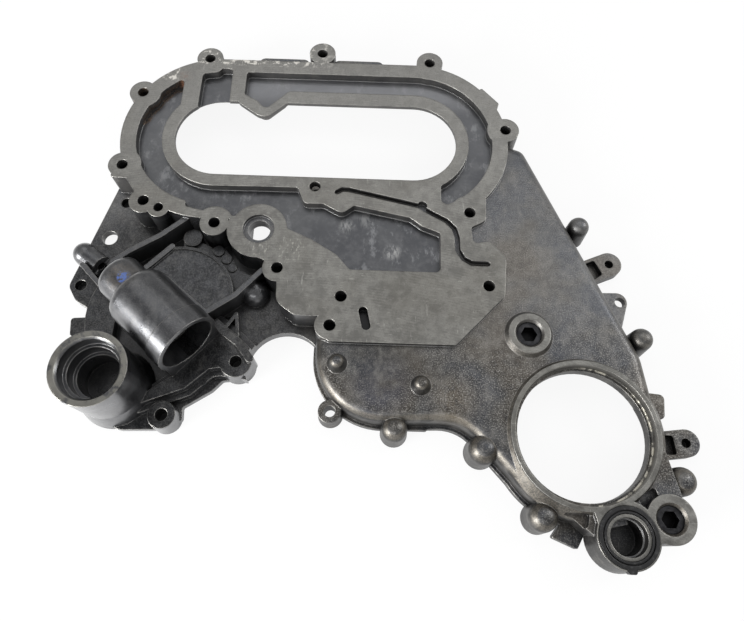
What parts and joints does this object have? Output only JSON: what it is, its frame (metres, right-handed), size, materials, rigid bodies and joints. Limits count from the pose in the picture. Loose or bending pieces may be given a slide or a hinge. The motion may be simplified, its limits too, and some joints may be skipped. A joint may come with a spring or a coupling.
{
  "type": "timing cover",
  "caption": "Cast aluminium engine timing cover with a stadium window, crank seal bore, coolant pump volute, ports, bolt pillars and a machined front face.",
  "frame": {"origin": "on the axis of the crank seal bore, half way down its 6 mm length, 21 mm above the rear gasket face", "axes": "+Z out of the machined front face, +X along the stadium window towards the crank bore side, +Y towards the window"},
  "size_m": [0.3622, 0.3215, 0.0508],
  "materials": {
    "cast_aluminium": "as cast, satin",
    "plug_steel": "blackened",
    "seal_rubber": "matt"
  },
  "bodies": {
    "root": {"cover_casting": "cast_aluminium", "upper_hex_plug": "plug_steel", "lower_hex_plug": "plug_steel", "port_seal": "seal_rubber"}
  },
  "joints": []
}
